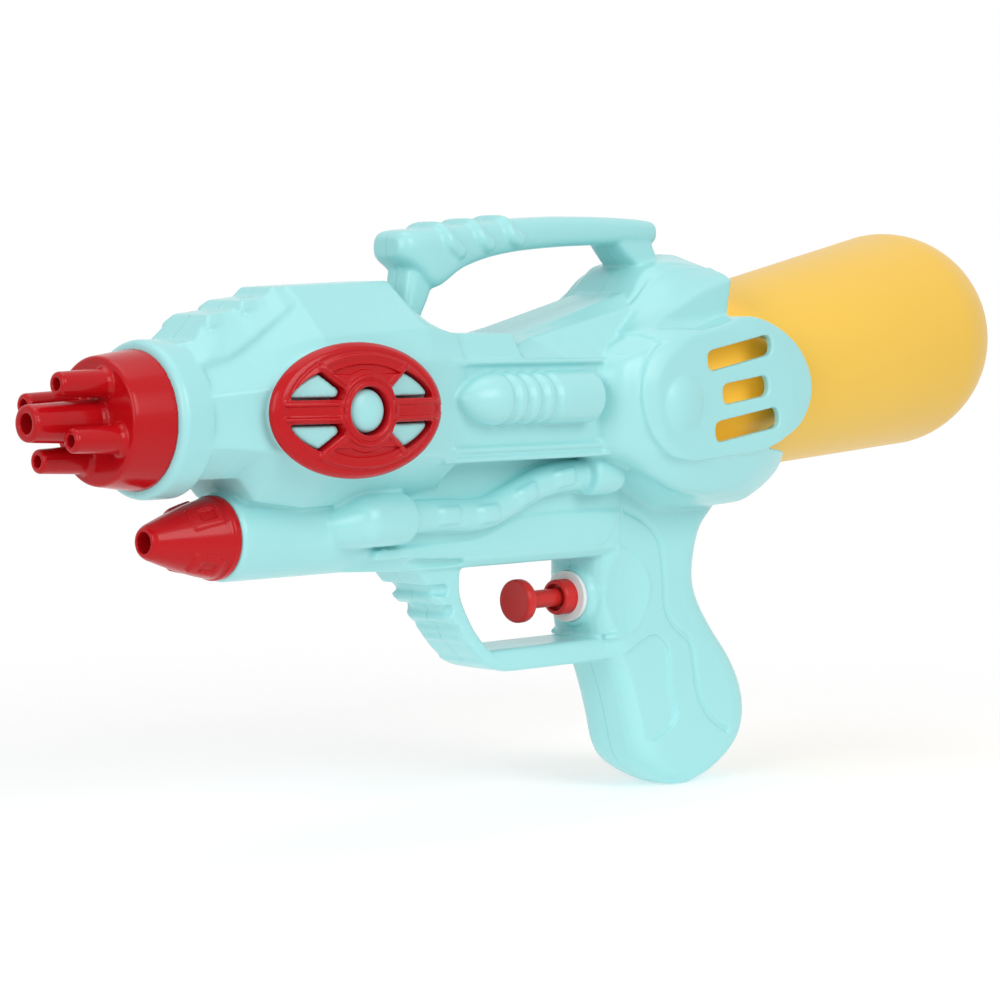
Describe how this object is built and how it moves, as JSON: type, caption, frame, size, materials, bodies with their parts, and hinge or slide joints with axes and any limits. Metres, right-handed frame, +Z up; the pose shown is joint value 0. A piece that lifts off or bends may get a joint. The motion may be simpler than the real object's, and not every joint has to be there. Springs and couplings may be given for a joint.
{
  "type": "toy water squirter",
  "caption": "Toy water squirter with a clamshell body, carry handle, push-button pump trigger, pointed nozzle under a cluster of dummy barrels, and a screw-in water tank behind",
  "frame": {"origin": "centre of the water nozzle's mouth", "axes": "-X out of the muzzle, +Z up, the body's split plane at Y = 0, the pictured left side towards -Y"},
  "size_m": [0.3323, 0.0674, 0.1504],
  "materials": {
    "mint_plastic": "glossy moulded pale mint plastic",
    "red_plastic": "glossy moulded red plastic",
    "orange_plastic": "satin blow-moulded amber plastic, slightly translucent",
    "white_plastic": "natural white plastic",
    "clear_hose": "soft clear hose",
    "black_rubber": "soft black rubber",
    "steel": "plain steel"
  },
  "bodies": {
    "body": {"left_shell": "mint_plastic", "right_shell": "mint_plastic", "muzzle_cluster": "red_plastic", "water_nozzle": "red_plastic", "jet_insert": "white_plastic", "outlet_valve_body": "white_plastic", "outlet_valve_seat": "white_plastic", "outlet_spring": "steel", "outlet_hose": "clear_hose", "left_emblem": "red_plastic", "right_emblem": "red_plastic", "tank_socket": "white_plastic", "pickup_tube": "clear_hose", "inlet_hose": "clear_hose", "inlet_elbow": "white_plastic", "pump_barrel": "white_plastic", "return_spring": "steel", "pump_collar": "red_plastic"},
    "trigger": {"trigger": "red_plastic", "piston_cup": "black_rubber"},
    "tank_carrier": {"tank_gasket": "black_rubber"},
    "tank": {"tank": "orange_plastic"},
    "inlet_ball": {"inlet_ball": "steel"},
    "outlet_ball": {"outlet_ball": "steel"}
  },
  "joints": [
    {"name": "trigger_push", "type": "slide", "parent": "body", "child": "trigger", "axis": [1, 0, 0], "range_m": [0, 0.0095], "stiffness_N_per_m": 400, "springref_m": -0.006, "deforming": ["return_spring"]},
    {"name": "tank_slide", "type": "slide", "parent": "body", "child": "tank_carrier", "axis": [0.9903, 0, 0.1392], "range_m": [0, 0.006]},
    {"name": "tank_turn", "type": "hinge", "parent": "tank_carrier", "child": "tank", "pos_m": [0.15, 0, 0.0271], "axis": [0.9903, 0, 0.1392], "range_deg": [0, 540]},
    {"name": "inlet_ball_lift", "type": "slide", "parent": "body", "child": "inlet_ball", "axis": [-1, 0, 0], "range_m": [0, 0.0011]},
    {"name": "outlet_ball_lift", "type": "slide", "parent": "body", "child": "outlet_ball", "axis": [-1, 0, 0], "range_m": [0, 0.0011], "stiffness_N_per_m": 80, "springref_m": -0.002, "deforming": ["outlet_spring"]}
  ],
  "couplings": [
    {"joint": "tank_turn", "follows": "tank_slide", "rad_per_m": 1570.8}
  ]
}
